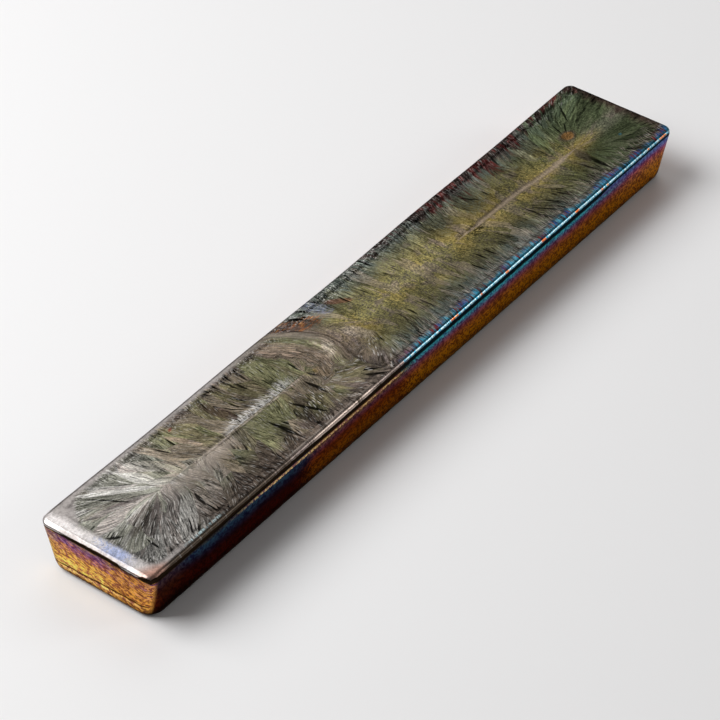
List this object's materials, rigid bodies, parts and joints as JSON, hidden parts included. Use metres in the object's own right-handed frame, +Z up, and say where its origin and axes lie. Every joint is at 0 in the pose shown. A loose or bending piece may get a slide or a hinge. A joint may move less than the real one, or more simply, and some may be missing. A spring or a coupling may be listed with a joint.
{
  "type": "cast tin ingot",
  "caption": "Long flat cast bar of tin with drafted walls, a rounded rim and a poured top face with a cold lap, frosted crystals and heat-tint colours.",
  "frame": {"origin": "middle of the foot, on the surface that the bar lies on", "axes": "+X along the bar, away from the end that was poured last; +Y across it; +Z up out of the mould"},
  "size_m": [0.2996, 0.0474, 0.0211],
  "materials": {
    "cast_tin": null
  },
  "bodies": {
    "root": {"ingot_bar": "cast_tin"}
  },
  "joints": []
}
